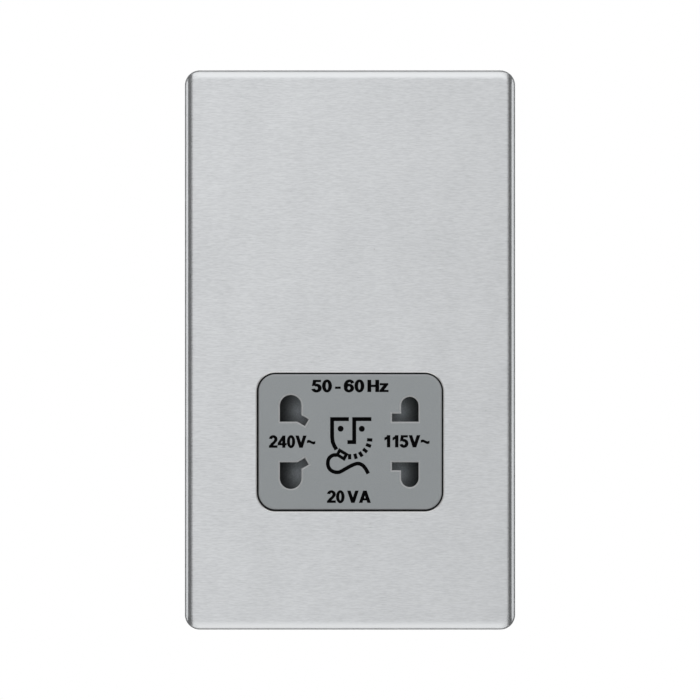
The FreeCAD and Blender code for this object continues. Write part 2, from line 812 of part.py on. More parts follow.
def switch_strip(side):
    """Fixed strip that dips under the insulating hump, with its end under a link at the right."""
    dip = strip_y + strip_dip
    half = strip_dip_half
    points = [V(-shutter_travel - strip_overrun, strip_y, 0), V(-half, strip_y, 0),
              V(-half + strip_dip_slope, dip, 0), V(half - strip_dip_slope, dip, 0), V(half, strip_y, 0),
              V(riser_x + link_width, strip_y, 0)]
    face = strip_face(points, strip_sheet, V(0, 1, 0))
    middle = insert_centre_z + side * strip_offset_z
    return face.translated(V(0, 0, middle - strip_height / 2)).extrude(V(0, 0, strip_height))


# Links, stamped flat in the plane in front of the strips, the core and the terminals

def link(points, towards):
    face = strip_face([V(x, link_front_y, z) for x, z in points], link_width, towards)
    return face.extrude(V(0, link_sheet, 0))


def lug_points(terminal_x, side):
    """From the front of a terminal out to the riser beside the contact carrier."""
    level = terminal_top_z - link_lug_drop
    return [(terminal_x + side * (terminal_width / 2 - link_lug), level), (side * riser_x, level)]


def jog_points(side):
    """Step outwards between the contact carrier and the core."""
    return [(side * riser_x, tail_level_z), (side * upper_riser_x, tail_level_z)]


def pin_points(side):
    """Over the upper ledge to the outer solder pin."""
    level = ledge_top_z + link_ledge_gap
    return [(side * upper_riser_x, level), (side * (pin_pitch - link_width / 2), level)]


def link_live():
    feed_top = insert_centre_z - strip_offset_z + strip_height / 2
    return link(lug_points(live_x, 1) + [(riser_x, feed_top)], V(1, 0, -1))


def link_switched():
    load_base = insert_centre_z + strip_offset_z - strip_height / 2
    lug_top = core_centre_z - cutout_length / 2 + link_cutout_lug
    return link([(riser_x, load_base)] + jog_points(1) + [(upper_riser_x, lug_top)], V(1, 0, 0))


def link_primary():
    lug_base = core_centre_z + cutout_length / 2 - link_cutout_lug
    return link([(upper_riser_x, lug_base)] + pin_points(1), V(1, 0, 1))


def link_neutral():
    return link(lug_points(neutral_x, -1) + jog_points(-1) + pin_points(-1), V(-1, 0, 0))


# Rear housing

def housing_block(shrink, front_y):
    """Outer or inner form: a shallow lower part and a deep upper part behind one rim."""
    width = housing_width - 2 * shrink
    height = housing_height - 2 * shrink
    corner = housing_corner - shrink
    shallow_y = housing_shallow_y - shrink
    deep_y = housing_deep_y - shrink
    shallow = rounded_slab(width, height, corner, front_y, shallow_y, housing_centre_z)
    deep = rounded_slab(width, height, corner, front_y, deep_y, housing_centre_z)
    deep = deep.cut(box(-width, width, front_y - overcut, deep_y + overcut,
                        housing_base_z - overcut, housing_step_z + shrink))
    if shrink == 0:
        shallow = shallow.makeChamfer(housing_edge, edges_at_y(shallow, shallow_y))
        deep = deep.makeChamfer(housing_edge, edges_at_y(deep, deep_y))
    return shallow.fuse(deep).removeSplitter()


def column_rear(z):
    return housing_deep_y if z > housing_step_z else housing_shallow_y


def rear_housing():
    outer = housing_block(0, frame_rear_y)
    shell = outer.cut(housing_block(housing_wall, frame_rear_y - overcut))
    column = screw_head_radius + screw_head_gap + column_wall
    added = [centred_box(x, z, column, column, frame_rear_y, column_rear(z)) for x, z in column_places]
    added += pillars(core_rear_y, housing_deep_y - housing_wall / 2)
    added += terminal_ribs()
    pad = contact_tail_width / 2
    added += [centred_box(x, z, pad, pad, contact_back_y, housing_shallow_y - housing_wall / 2)
              for x, z in contact_places()]
    shell = shell.fuse([a.common(outer) for a in added])
    return shell.cut(housing_cuts())


def terminal_ribs():
    """Side walls and a rear seat for each terminal block."""
    ribs = []
    half = terminal_width / 2 + terminal_fit
    low = terminal_base_z - housing_wall / 2
    rear = housing_shallow_y - housing_wall / 2
    for x in terminal_places:
        for side in (-1, 1):
            ribs.append(box(x + side * (half + terminal_rib / 2) - terminal_rib / 2,
                            x + side * (half + terminal_rib / 2) + terminal_rib / 2,
                            terminal_front_y, rear, low, terminal_base_z + terminal_rib_height))
        ribs.append(box(x - half, x + half, terminal_rear_y, rear, low, terminal_top_z))
    return ribs


def housing_cuts():
    """Sockets and screw holes in the columns, openings at the terminals, and vents beside the core."""
    cuts = []
    socket = post_half + post_gap
    for x, z in column_places:
        cuts.append(centred_box(x, z, socket, socket, frame_rear_y - overcut, seat_front))
        cuts.append(rod(x, z, screw_radius + screw_hole_gap, seat_front - overcut, seat_rear_y + overcut))
        cuts.append(rod(x, z, screw_head_radius + screw_head_gap, seat_rear_y, housing_deep_y + overcut))
    entry = terminal_bore_radius + entry_clearance
    access = terminal_screw_head_radius + screw_head_gap
    for x in terminal_places:
        cuts.append(box(x - entry, x + entry, terminal_y - entry, terminal_y + entry,
                        housing_base_z - overcut, terminal_base_z))
        cuts.append(centred_box(x, terminal_z, access, access, terminal_rear_y, housing_shallow_y + overcut))
    for n in range(vent_count):
        z = core_base_z + vent_rise + n * vent_pitch
        for side in (-1, 1):
            cuts.append(centred_box(side * (housing_inner_half + housing_wall / 2), z,
                                    housing_wall / 2 + overcut, vent_width / 2,
                                    core_front_y + vent_offset, core_rear_y + vent_offset))
    return cuts


# Screws

def screw(x, z, head_y, reach, radius, head_radius, head_height):
    """Screw along Y with its head at the rear and a straight driver slot."""
    shank = rod(x, z, radius, head_y - reach, head_y)
    head = rod(x, z, head_radius, head_y, head_y + head_height)
    slot = centred_box(x, z, head_radius + overcut, slot_width / 2, head_y + head_height - slot_depth,
                       head_y + head_height + overcut)
    return shank.fuse(head.cut(slot)).removeSplitter()


def housing_screws():
    return Part.makeCompound([screw(x, z, seat_rear_y, seat_thickness + screw_reach, screw_radius,
                                    screw_head_radius, screw_head_height) for x, z in column_places])


def terminal_screws():
    reach = terminal_depth / 2 - terminal_bore_radius - terminal_screw_tip_gap
    return Part.makeCompound([screw(x, terminal_z, terminal_rear_y, reach, terminal_screw_radius,
                                    terminal_screw_head_radius, terminal_screw_head_height)
                              for x in terminal_places])


# Transformer

def transformer_core_e():
    half = core_width / 2
    stack = box(-half, half, core_front_y, core_rear_y, core_base_z, window_top_z)
    windows = [centred_box(side * core_leg * 1.5, (window_base_z + window_top_z + overcut) / 2, core_leg / 2,
                           (window_top_z + overcut - window_base_z) / 2, core_front_y - overcut,
                           core_rear_y + overcut) for side in (-1, 1)]
    return stack.cut(windows)


def transformer_core_i():
    half = core_width / 2
    return box(-half, half, core_front_y, core_rear_y, window_top_z, core_top_z)


def coil_box(half_x, half_y, z0, z1, corner=0.0):
    block = box(-half_x, half_x, core_centre_y - half_y, core_centre_y + half_y, z0, z1)
    if corner > 0:
        uprights = [e for e in block.Edges if abs(e.BoundBox.ZLength - (z1 - z0)) < 1e-6]
        block = block.makeChamfer(corner, uprights)
    return block


def transformer_bobbin():
    """Tube on the middle leg with three flanges, and a ledge for the solder pins at each end."""
    z0, z1 = window_base_z + bobbin_gap, window_top_z - bobbin_gap
    body = coil_box(bobbin_half_x, bobbin_half_y, z0, z1)
    flanges = [coil_box(flange_half_x, flange_half_y, z, z + bobbin_flange, coil_corner / 2)
               for z in (z0, (z0 + z1 - bobbin_flange) / 2, z1 - bobbin_flange)]
    half = pin_pitch + ledge_end
    ledge_half = pin_half + ledge_wall
    ledges = [box(-half, half, pin_y - ledge_half, pin_y + ledge_half, *levels)
              for levels in ((ledge_base_z, z0 + bobbin_flange), (z1 - bobbin_flange, ledge_top_z))]
    body = body.fuse(flanges + ledges)
    return body.cut(coil_box(core_leg + bobbin_gap, core_stack / 2 + bobbin_gap, z0 - overcut, z1 + overcut))


def bobbin_pins():
    pins = []
    for x in pin_places:
        for z0, z1 in ((ledge_base_z - pin_length, ledge_base_z), (ledge_top_z, ledge_top_z + pin_length)):
            pins.append(box(x - pin_half, x + pin_half, pin_y - pin_half, pin_y + pin_half, z0, z1))
    return Part.makeCompound(pins)


def chamber(upper):
    """Lowest and highest level of one winding space between the flanges."""
    z0 = window_base_z + bobbin_gap + bobbin_flange
    z1 = window_top_z - bobbin_gap - bobbin_flange
    middle = (z0 + z1) / 2
    if upper:
        return middle + bobbin_flange / 2, z1
    return z0, middle - bobbin_flange / 2


def winding(upper):
    z0, z1 = chamber(upper)
    coil = coil_box(flange_half_x - coil_side_gap, flange_half_y - coil_side_gap, z0, z1, coil_corner)
    return coil.cut(coil_box(bobbin_half_x + coil_fit, bobbin_half_y + coil_fit, z0 - overcut, z1 + overcut))


def winding_tape(upper):
    z0, z1 = chamber(upper)
    half_x, half_y = flange_half_x - coil_side_gap, flange_half_y - coil_side_gap
    band = coil_box(half_x + tape_thickness, half_y + tape_thickness, z0 + tape_margin, z1 - tape_margin,
                    coil_corner + tape_thickness)
    return band.cut(coil_box(half_x, half_y, z0, z1, coil_corner))


def thermal_cutout():
    """Cutout on the side of the core, with its front in the plane of the links."""
    side = core_width / 2
    body = box(side, side + cutout_height, strip_y, strip_y + cutout_width,
               core_centre_z - cutout_length / 2, core_centre_z + cutout_length / 2)
    outer = [e for e in body.Edges if e.BoundBox.XMin > side + cutout_height / 2]
    return body.makeChamfer(cutout_edge, outer)


# Terminals and earth strap

def terminal(x):
    half = terminal_width / 2
    block = box(x - half, x + half, terminal_front_y, terminal_rear_y, terminal_base_z, terminal_top_z)
    uprights = [e for e in block.Edges if abs(e.BoundBox.ZLength - terminal_height) < 1e-6]
    block = block.makeChamfer(terminal_edge, uprights)
    bore = upright(x, terminal_y, terminal_bore_radius, terminal_base_z - overcut, terminal_top_z + overcut)
    thread = rod(x, terminal_z, terminal_screw_radius + screw_pilot_gap, terminal_y, terminal_rear_y + overcut)
    return block.cut([bore, thread])


def earth_strap():
    """Bent strip from the earth terminal's face through the frame to the back of the plate."""
    riser = terminal_base_z + strap_rise
    rear = terminal_front_y - strap_sheet
    x = earth_x - strap_width / 2
    points = [V(x, frame_front_y, riser - strap_front_length), V(x, frame_front_y, riser),
              V(x, rear, riser), V(x, rear, riser + strap_rear_length)]
    return strip_face(points, strap_sheet, V(0, 1, 0)).extrude(V(strap_width, 0, 0))


def all_pieces():
    return {
        "front_plate": front_plate(),
        "mounting_frame": mounting_frame(),
        "gasket": gasket(),
        "socket_insert": socket_insert(),
        "shutter_slider": shutter_slider(),
        "shutter_spring_left": shutter_spring_left(),
        "shutter_spring_right": shutter_spring_right(),
        "switch_bridge": switch_bridge(),
        "switch_strip_feed": switch_strip(-1),
        "switch_strip_load": switch_strip(1),
        "contact_carrier": contact_carrier(),
        "contact_240": single_contact(aperture_240_x, -pin_pitch),
        "contact_115": single_contact(aperture_115_x, pin_pitch),
        "contact_common": contact_common(),
        "link_live": link_live(),
        "link_switched": link_switched(),
        "link_primary": link_primary(),
        "link_neutral": link_neutral(),
        "rear_housing": rear_housing(),
        "housing_screws": housing_screws(),
        "transformer_core_e": transformer_core_e(),
        "transformer_core_i": transformer_core_i(),
        "transformer_bobbin": transformer_bobbin(),
        "bobbin_pins": bobbin_pins(),
        "primary_winding": winding(True),
        "secondary_winding": winding(False),
        "primary_tape": winding_tape(True),
        "secondary_tape": winding_tape(False),
        "thermal_cutout": thermal_cutout(),
        "terminal_live": terminal(live_x),
        "terminal_neutral": terminal(neutral_x),
        "terminal_earth": terminal(earth_x),
        "terminal_screws": terminal_screws(),
        "earth_strap": earth_strap(),
    }


os.makedirs("parts", exist_ok=True)
for name, shape in all_pieces().items():
    shape.exportStep("parts/" + name + ".step")
    print(name, len(shape.Solids), shape.isValid(), round(shape.Volume, 1))
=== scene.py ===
import bpy, bmesh, json, math
import numpy as np
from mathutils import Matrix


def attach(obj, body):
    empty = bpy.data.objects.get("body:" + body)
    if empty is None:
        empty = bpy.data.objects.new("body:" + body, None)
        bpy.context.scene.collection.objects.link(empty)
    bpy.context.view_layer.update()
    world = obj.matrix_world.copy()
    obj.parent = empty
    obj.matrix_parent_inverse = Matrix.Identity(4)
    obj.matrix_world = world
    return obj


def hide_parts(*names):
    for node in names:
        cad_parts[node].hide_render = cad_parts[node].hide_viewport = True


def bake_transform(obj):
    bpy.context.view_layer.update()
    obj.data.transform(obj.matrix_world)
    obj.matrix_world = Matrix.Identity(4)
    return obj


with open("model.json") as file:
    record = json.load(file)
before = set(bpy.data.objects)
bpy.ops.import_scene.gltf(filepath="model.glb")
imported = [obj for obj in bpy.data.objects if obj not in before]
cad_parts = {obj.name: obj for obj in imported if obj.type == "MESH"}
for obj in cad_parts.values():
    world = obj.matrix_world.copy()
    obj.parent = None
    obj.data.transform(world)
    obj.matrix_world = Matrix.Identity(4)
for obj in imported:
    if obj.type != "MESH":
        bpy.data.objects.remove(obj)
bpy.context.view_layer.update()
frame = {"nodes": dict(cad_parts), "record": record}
nodes = frame["nodes"]
slotOfNode = {part["node"]: part["material_slot"] for part in frame["record"]["subparts"]}
mm = 0.001
print("frame loaded:", len(nodes), "nodes")

view = {
    "width": 0.1827,          # metres that the square picture spans
    "distance": 1.2,
}


def link(thing):
    # puts a new object into the scene
    bpy.context.scene.collection.objects.link(thing)
    return thing


def placeCamera():
    # the photograph looks straight at the plate with next to no perspective
    data = bpy.data.cameras.new("frontCamera")
    data.type = "ORTHO"
    data.ortho_scale = view["width"]
    camera = link(bpy.data.objects.new("frontCamera", data))
    camera.location = (0.0, -view["distance"], 0.0)
    camera.rotation_euler = (math.pi / 2, 0.0, 0.0)
    bpy.context.scene.camera = camera


studio = {
    "floorHeight": -0.0732,
    "floorHalf": 1.6,
    "floorColour": (0.86, 0.86, 0.85, 1.0),
    "floorRough": 0.7,
    "floorGrain": 400.0,
    "floorRelief": 0.00004,
    "floorBump": 0.4,
    "skyLevel": 0.91,            # what matt surfaces receive from all round
    "keyPlace": (-0.35, -0.65, 0.95),
    "keyPower": 1.5,
    "keySize": (2.6, 1.6),
    "fillPlace": (0.70, -0.90, 0.30),
    "fillPower": 1.0,
    "fillSize": (1.8, 1.8),
    "cardReach": 1.0,            # metres from the middle of the plate to the dark cards
    "leftCard": (21.0, 75.0),    # degrees from the view line that each card covers
    "rightCard": (24.0, 70.0),
    "rearCard": (112.0, 148.0),
    "fadeStart": 5.0,            # where the half-dark card inside each side card begins
    "cardTurn": 58.0,            # degrees that a side card goes on up and down round the view line
    "hub": 0.77,                 # the plate's corner radius less its bend, over the bend
    "coverSteps": 8,
    "sideSteps": 41,
    "rearSteps": 49,
    "cardColour": (0.21, 0.21, 0.21, 1.0),
    "fadeColour": (0.50, 0.50, 0.50, 1.0),
}


def sheetObject(name, points):
    # points is an array of rows x columns x 3, and each cell of the grid is one four-sided face
    rows, columns = points.shape[:2]
    index = np.arange(rows * columns).reshape(rows, columns)
    faces = np.stack([index[:-1, :-1], index[:-1, 1:], index[1:, 1:], index[1:, :-1]], axis=-1)
    mesh = bpy.data.meshes.new(name)
    mesh.from_pydata(points.reshape(-1, 3).tolist(), [], faces.reshape(-1, 4).tolist())
    mesh.update()
    return link(bpy.data.objects.new(name, mesh))


def areaLamp(name, place, size, power):
    # the lamp looks at the middle of the plate: it is tipped from the zenith and turned to face it
    data = bpy.data.lights.new(name, "AREA")
    data.shape = "RECTANGLE"
    data.size, data.size_y = size
    data.energy = power
    lamp = link(bpy.data.objects.new(name, data))
    lamp.location = place
    across = math.hypot(place[0], place[1])
    lamp.rotation_euler = (math.atan2(across, place[2]), 0.0, math.atan2(place[0], -place[1]))


def darkCard(name, points, colour="cardColour"):
    # a card that only shows in polished metal, as flags beside a camera do
    card = sheetObject(name, points)
    material = newFinish(name, {"Base Color": studio[colour], "Roughness": 1.0})[0]
    card.data.materials.append(material)
    card.visible_camera = False
    card.visible_diffuse = False
    card.visible_shadow = False
    card.visible_transmission = False


def onSphere(angle, turn, side=1):
    # places round the plate at the cards' reach: across is the sine of the angle from the view line
    # times the cosine of the turn round it, depth is minus the angle's cosine, and up is the product
    # of both sines
    across, up = side * np.sin(angle) * np.cos(turn), np.sin(angle) * np.sin(turn)
    return np.stack(np.broadcast_arrays(across, -np.cos(angle), up), axis=-1) * studio["cardReach"]


def sideCardPoints(side, cover):
    # a zone of a sphere that goes from below to above one side. A limit's lean is half its angle, and
    # the lean's sine at a turn is its sine at no turn plus the hub, over the turn's cosine, less the
    # hub, so that the dark band in the bend runs straight on into the plate's corner
    turn = np.radians(np.linspace(-studio["cardTurn"], studio["cardTurn"], studio["sideSteps"]))
    lean = np.sin(np.radians(cover) / 2)[:, None]
    lean = np.clip((lean + studio["hub"]) / np.cos(turn) - studio["hub"], 0.0, 1.0)
    low, high = np.minimum(2 * np.arcsin(lean), math.radians(studio["rearCard"][1]))
    angle = low + (high - low) * np.linspace(0.0, 1.0, studio["coverSteps"])[:, None]
    return onSphere(angle, turn, side)


def rearCardPoints():
    # a zone of a sphere all round the view line, behind the plate
    low, high = np.radians(studio["rearCard"])
    angle = np.linspace(low, high, studio["coverSteps"])[:, None]
    return onSphere(angle, np.linspace(0, 2 * np.pi, studio["rearSteps"]))


def hangSky():
    # the camera, gloss and glass see plain white, and matt surfaces a softer level of it
    world = bpy.data.worlds.new("softSky")
    bpy.context.scene.world = world
    world.use_nodes = True
    tree = world.node_tree
    tree.nodes.clear()
    path = tree.nodes.new("ShaderNodeLightPath")
    seen = path.outputs["Is Camera Ray"]
    for ray in ("Is Glossy Ray", "Is Transmission Ray"):
        seen = calculation(tree, "MAXIMUM", seen, path.outputs[ray])
    mix = tree.nodes.new("ShaderNodeMixShader")
    tree.links.new(seen, mix.inputs["Fac"])
    for slot, level in ((1, studio["skyLevel"]), (2, 1.0)):
        light = tree.nodes.new("ShaderNodeBackground")
        light.inputs["Color"].default_value = (1.0, 1.0, 1.0, 1.0)
        light.inputs["Strength"].default_value = level
        tree.links.new(light.outputs[0], mix.inputs[slot])
    output = tree.nodes.new("ShaderNodeOutputWorld")
    tree.links.new(mix.outputs[0], output.inputs["Surface"])


def floorPaint():
    # pale paint that keeps the object's shadow
    settings = {"Base Color": studio["floorColour"], "Roughness": studio["floorRough"]}
    material, tree, shader = newFinish("palePaint", settings)
    pattern = grain(tree, {"scale": studio["floorGrain"]})
    relief(tree, shader, pattern, studio["floorRelief"], studio["floorBump"])
    return material


def buildStudio():
    # the floor, two lamps, the dark cards and the sky
    edge = np.linspace(-studio["floorHalf"], studio["floorHalf"], 3)
    x, y = np.meshgrid(edge, edge, indexing="ij")
    floor = sheetObject("floor", np.stack([x, y, np.full_like(x, studio["floorHeight"])], axis=-1))
    floor.data.materials.append(floorPaint())
    floor.visible_glossy = False        # metal and glass see the white round the scene instead
    floor.visible_transmission = False
    areaLamp("keyLamp", studio["keyPlace"], studio["keySize"], studio["keyPower"])
    areaLamp("fillLamp", studio["fillPlace"], studio["fillSize"], studio["fillPower"])
    for side, name in ((-1, "leftCard"), (1, "rightCard")):
        darkCard(name, sideCardPoints(side, studio[name]))
        fade = sideCardPoints(side, (studio["fadeStart"], studio[name][0]))
        darkCard(name + "Fade", fade, "fadeColour")
    darkCard("rearCard", rearCardPoints())
    hangSky()
    bpy.context.scene.view_settings.view_transform = "Standard"


shading = {
    "noiseDetail": 3.0,
    "noiseReach": (0.3, 0.7),    # most of a noise lies between these
    "wavePeriod": 0.314,         # metres between the bands of a wave at a scale of one
    "waveDetail": 2.0,
}


def newFinish(name, settings):
    # one Principled shader, with the dictionary's values on its own sockets
    material = bpy.data.materials.new(name)
    material.use_nodes = True
    tree = material.node_tree
    shader = tree.nodes["Principled BSDF"]
    for socket, value in settings.items():
        shader.inputs[socket].default_value = value
    return material, tree, shader


def ownPoint(tree):
    # where a point lies in the piece's own coordinates
    return tree.nodes.new("ShaderNodeTexCoord").outputs["Object"]


def stretched(tree, stretch=(1.0, 1.0, 1.0)):
    # the piece's own coordinates, each axis multiplied by its stretch
    mapping = tree.nodes.new("ShaderNodeMapping")
    mapping.inputs["Scale"].default_value = stretch
    tree.links.new(ownPoint(tree), mapping.inputs["Vector"])
    return mapping.outputs[0]


def calculation(tree, operation, first, second=None):
    # one sum on numbers: the second may be a socket or a fixed number, or missing
    node = tree.nodes.new("ShaderNodeMath")
    node.operation = operation
    tree.links.new(first, node.inputs[0])
    if isinstance(second, float):
        node.inputs[1].default_value = second
    elif second is not None:
        tree.links.new(second, node.inputs[1])
    return node.outputs[0]


def vectorStep(tree, operation, place, amount=None):
    # one sum on a place, with a fixed vector where the sum needs one
    node = tree.nodes.new("ShaderNodeVectorMath")
    node.operation = operation
    tree.links.new(place, node.inputs[0])
    if amount is not None:
        node.inputs[1].default_value = amount
    return node


def grain(tree, values):
    # plain noise, as moulded or rolled surfaces have
    noise = tree.nodes.new("ShaderNodeTexNoise")
    noise.inputs["Scale"].default_value = values["scale"]
    noise.inputs["Detail"].default_value = shading["noiseDetail"]
    tree.links.new(stretched(tree, values.get("stretch", (1.0, 1.0, 1.0))), noise.inputs["Vector"])
    return noise.outputs[0]


def streaks(tree, values):
    # noises of their own scale and stretch, each times its share, added up: the fine and the long
    # marks of the brushing, and clouds
    total = None
    for scale, stretch, share in values["layers"]:
        noise = grain(tree, {"scale": scale, "stretch": stretch})
        part = calculation(tree, "MULTIPLY", noise, share)
        total = part if total is None else calculation(tree, "ADD", total, part)
    return total


def turns(tree, values):
    # sine bands across one axis, as wound wire and stacked sheets show; the scale gives the period
    wave = tree.nodes.new("ShaderNodeTexWave")
    wave.bands_direction = values["axis"]
    wave.inputs["Scale"].default_value = shading["wavePeriod"] / values["period"]
    wave.inputs["Distortion"].default_value = values["unrest"]
    wave.inputs["Detail Scale"].default_value = shading["waveDetail"]
    tree.links.new(stretched(tree), wave.inputs["Vector"])
    return wave.outputs["Fac"]


def cells(tree, values):
    # the distance to the nearest of many scattered points, as the skin of foam shows
    cell = tree.nodes.new("ShaderNodeTexVoronoi")
    cell.inputs["Scale"].default_value = values["scale"]
    tree.links.new(stretched(tree), cell.inputs["Vector"])
    return cell.outputs["Distance"]


patterns = {"grain": grain, "streaks": streaks, "turns": turns, "cells": cells}


def ramp(tree, fac, stops):
    # a colour for each place of the pattern, straight between the stops
    node = tree.nodes.new("ShaderNodeValToRGB")
    elements = node.color_ramp.elements
    while len(elements) < len(stops):
        elements.new(0.5)
    for element, (place, colour) in zip(elements, stops):
        element.position = place
        element.color = (*colour, 1.0)
    tree.links.new(fac, node.inputs["Fac"])
    return node.outputs["Color"]


def spread(tree, fac, start, end, low=0.0, high=1.0):
    # low up to the start, high from the end on, and straight between them
    reach = tree.nodes.new("ShaderNodeMapRange")
    limits = {"From Min": start, "From Max": end, "To Min": low, "To Max": high}
    for socket, value in limits.items():
        reach.inputs[socket].default_value = value
    tree.links.new(fac, reach.inputs["Value"])
    return reach.outputs["Result"]


def band(tree, fac, places):
    # nothing below the first place, one between the middle two, and nothing again above the last
    black, white = (0.0, 0.0, 0.0), (1.0, 1.0, 1.0)
    return ramp(tree, fac, list(zip(places, (black, white, white, black))))


def relief(tree, shader, fac, depth, strength=1.0):
    # the pattern's ups and downs, with their depth in metres
    bump = tree.nodes.new("ShaderNodeBump")
    bump.inputs["Strength"].default_value = strength
    bump.inputs["Distance"].default_value = depth
    tree.links.new(fac, bump.inputs["Height"])
    tree.links.new(bump.outputs["Normal"], shader.inputs["Normal"])


def alongAxis(tree, vector, axis):
    # how much of a vector goes along one axis, either way
    parts = tree.nodes.new("ShaderNodeSeparateXYZ")
    tree.links.new(vector, parts.inputs[0])
    return calculation(tree, "ABSOLUTE", parts.outputs[axis])


def leaning(tree, axis):
    # how far the surface faces along one axis, either way
    return alongAxis(tree, tree.nodes.new("ShaderNodeNewGeometry").outputs["Normal"], axis)


def nearPlace(tree, centre, reach):
    # one inside a sphere round the centre, and nothing outside it
    apart = vectorStep(tree, "DISTANCE", ownPoint(tree), centre)
    return calculation(tree, "LESS_THAN", apart.outputs["Value"], reach)


def remainder(tree, steps):
    # the piece's own place taken through vector sums one by one, and the length of what is left
    place = ownPoint(tree)
    for operation, amount in steps:
        place = vectorStep(tree, operation, place, amount).outputs[0]
    return vectorStep(tree, "LENGTH", place).outputs["Value"]


def outwardOf(tree, centre, core):
    # how far the place is from a flat box round the centre: what is left of its distances along the
    # axes once the core's half sizes are taken off, and nothing where that is less than nothing
    return remainder(tree, (("SUBTRACT", centre), ("ABSOLUTE", None), ("SUBTRACT", core),
                            ("MAXIMUM", (0.0, 0.0, 0.0))))


def fromSpots(tree, centre, offset):
    # how far the place is, seen from the front, from the nearest of four spots mirrored round the
    # centre: its distances along the axes less the offset, without the depth
    return remainder(tree, (("SUBTRACT", centre), ("ABSOLUTE", None), ("SUBTRACT", offset),
                            ("MULTIPLY", (1.0, 0.0, 1.0))))


def blendNumber(tree, share, first, second):
    # the first number where the share is nothing, and the fixed second one where it is one
    mix = tree.nodes.new("ShaderNodeMix")
    tree.links.new(share, mix.inputs["Factor"])
    tree.links.new(first, mix.inputs["A"])
    mix.inputs["B"].default_value = second
    return mix.outputs["Result"]


def blendColour(tree, share, first, second, way="MIX"):
    # two colours by their share: a Mix node takes colours in its sockets 6 and 7 and gives one in 2
    mix = tree.nodes.new("ShaderNodeMix")
    mix.data_type = "RGBA"
    mix.blend_type = way
    if isinstance(share, float):
        mix.inputs[0].default_value = share
    else:
        tree.links.new(share, mix.inputs[0])
    tree.links.new(first, mix.inputs[6])
    if isinstance(second, tuple):
        mix.inputs[7].default_value = (*second, 1.0)
    else:
        tree.links.new(second, mix.inputs[7])
    return mix.outputs[2]


